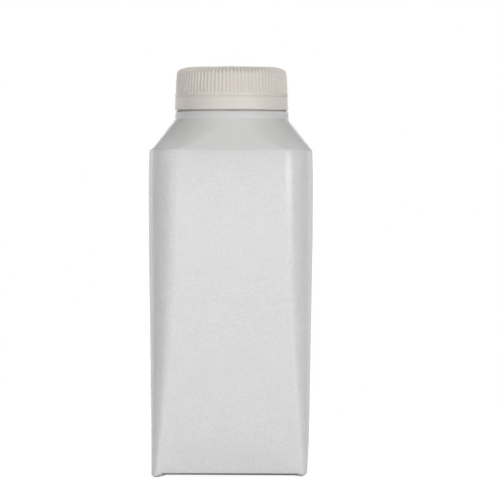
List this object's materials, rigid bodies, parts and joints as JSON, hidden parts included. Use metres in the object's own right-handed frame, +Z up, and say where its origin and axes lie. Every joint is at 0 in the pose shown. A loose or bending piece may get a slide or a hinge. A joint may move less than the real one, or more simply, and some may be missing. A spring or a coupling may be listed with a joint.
{
  "type": "water carton",
  "caption": "Plain board water carton, square at the base and rounder towards the top, with a moulded shoulder, a tamper band and a ribbed screw cap.",
  "frame": {"origin": "middle of the base, on the plane of its four small feet", "axes": "+Z up through the cap, -Y out of the front face, +X to the right seen from the front; the lap seam is at the back, on +Y"},
  "size_m": [0.0588, 0.0588, 0.1466],
  "materials": {
    "board": "white coated board with a faint mottle, satin",
    "top_plastic": "white moulded polyethylene, soft satin",
    "cap_plastic": "warm off-white moulded polyethylene, soft satin"
  },
  "bodies": {
    "root": {"carton_sleeve": "board", "top_moulding": "top_plastic", "tamper_band": "cap_plastic", "screw_cap": "cap_plastic"}
  },
  "joints": []
}
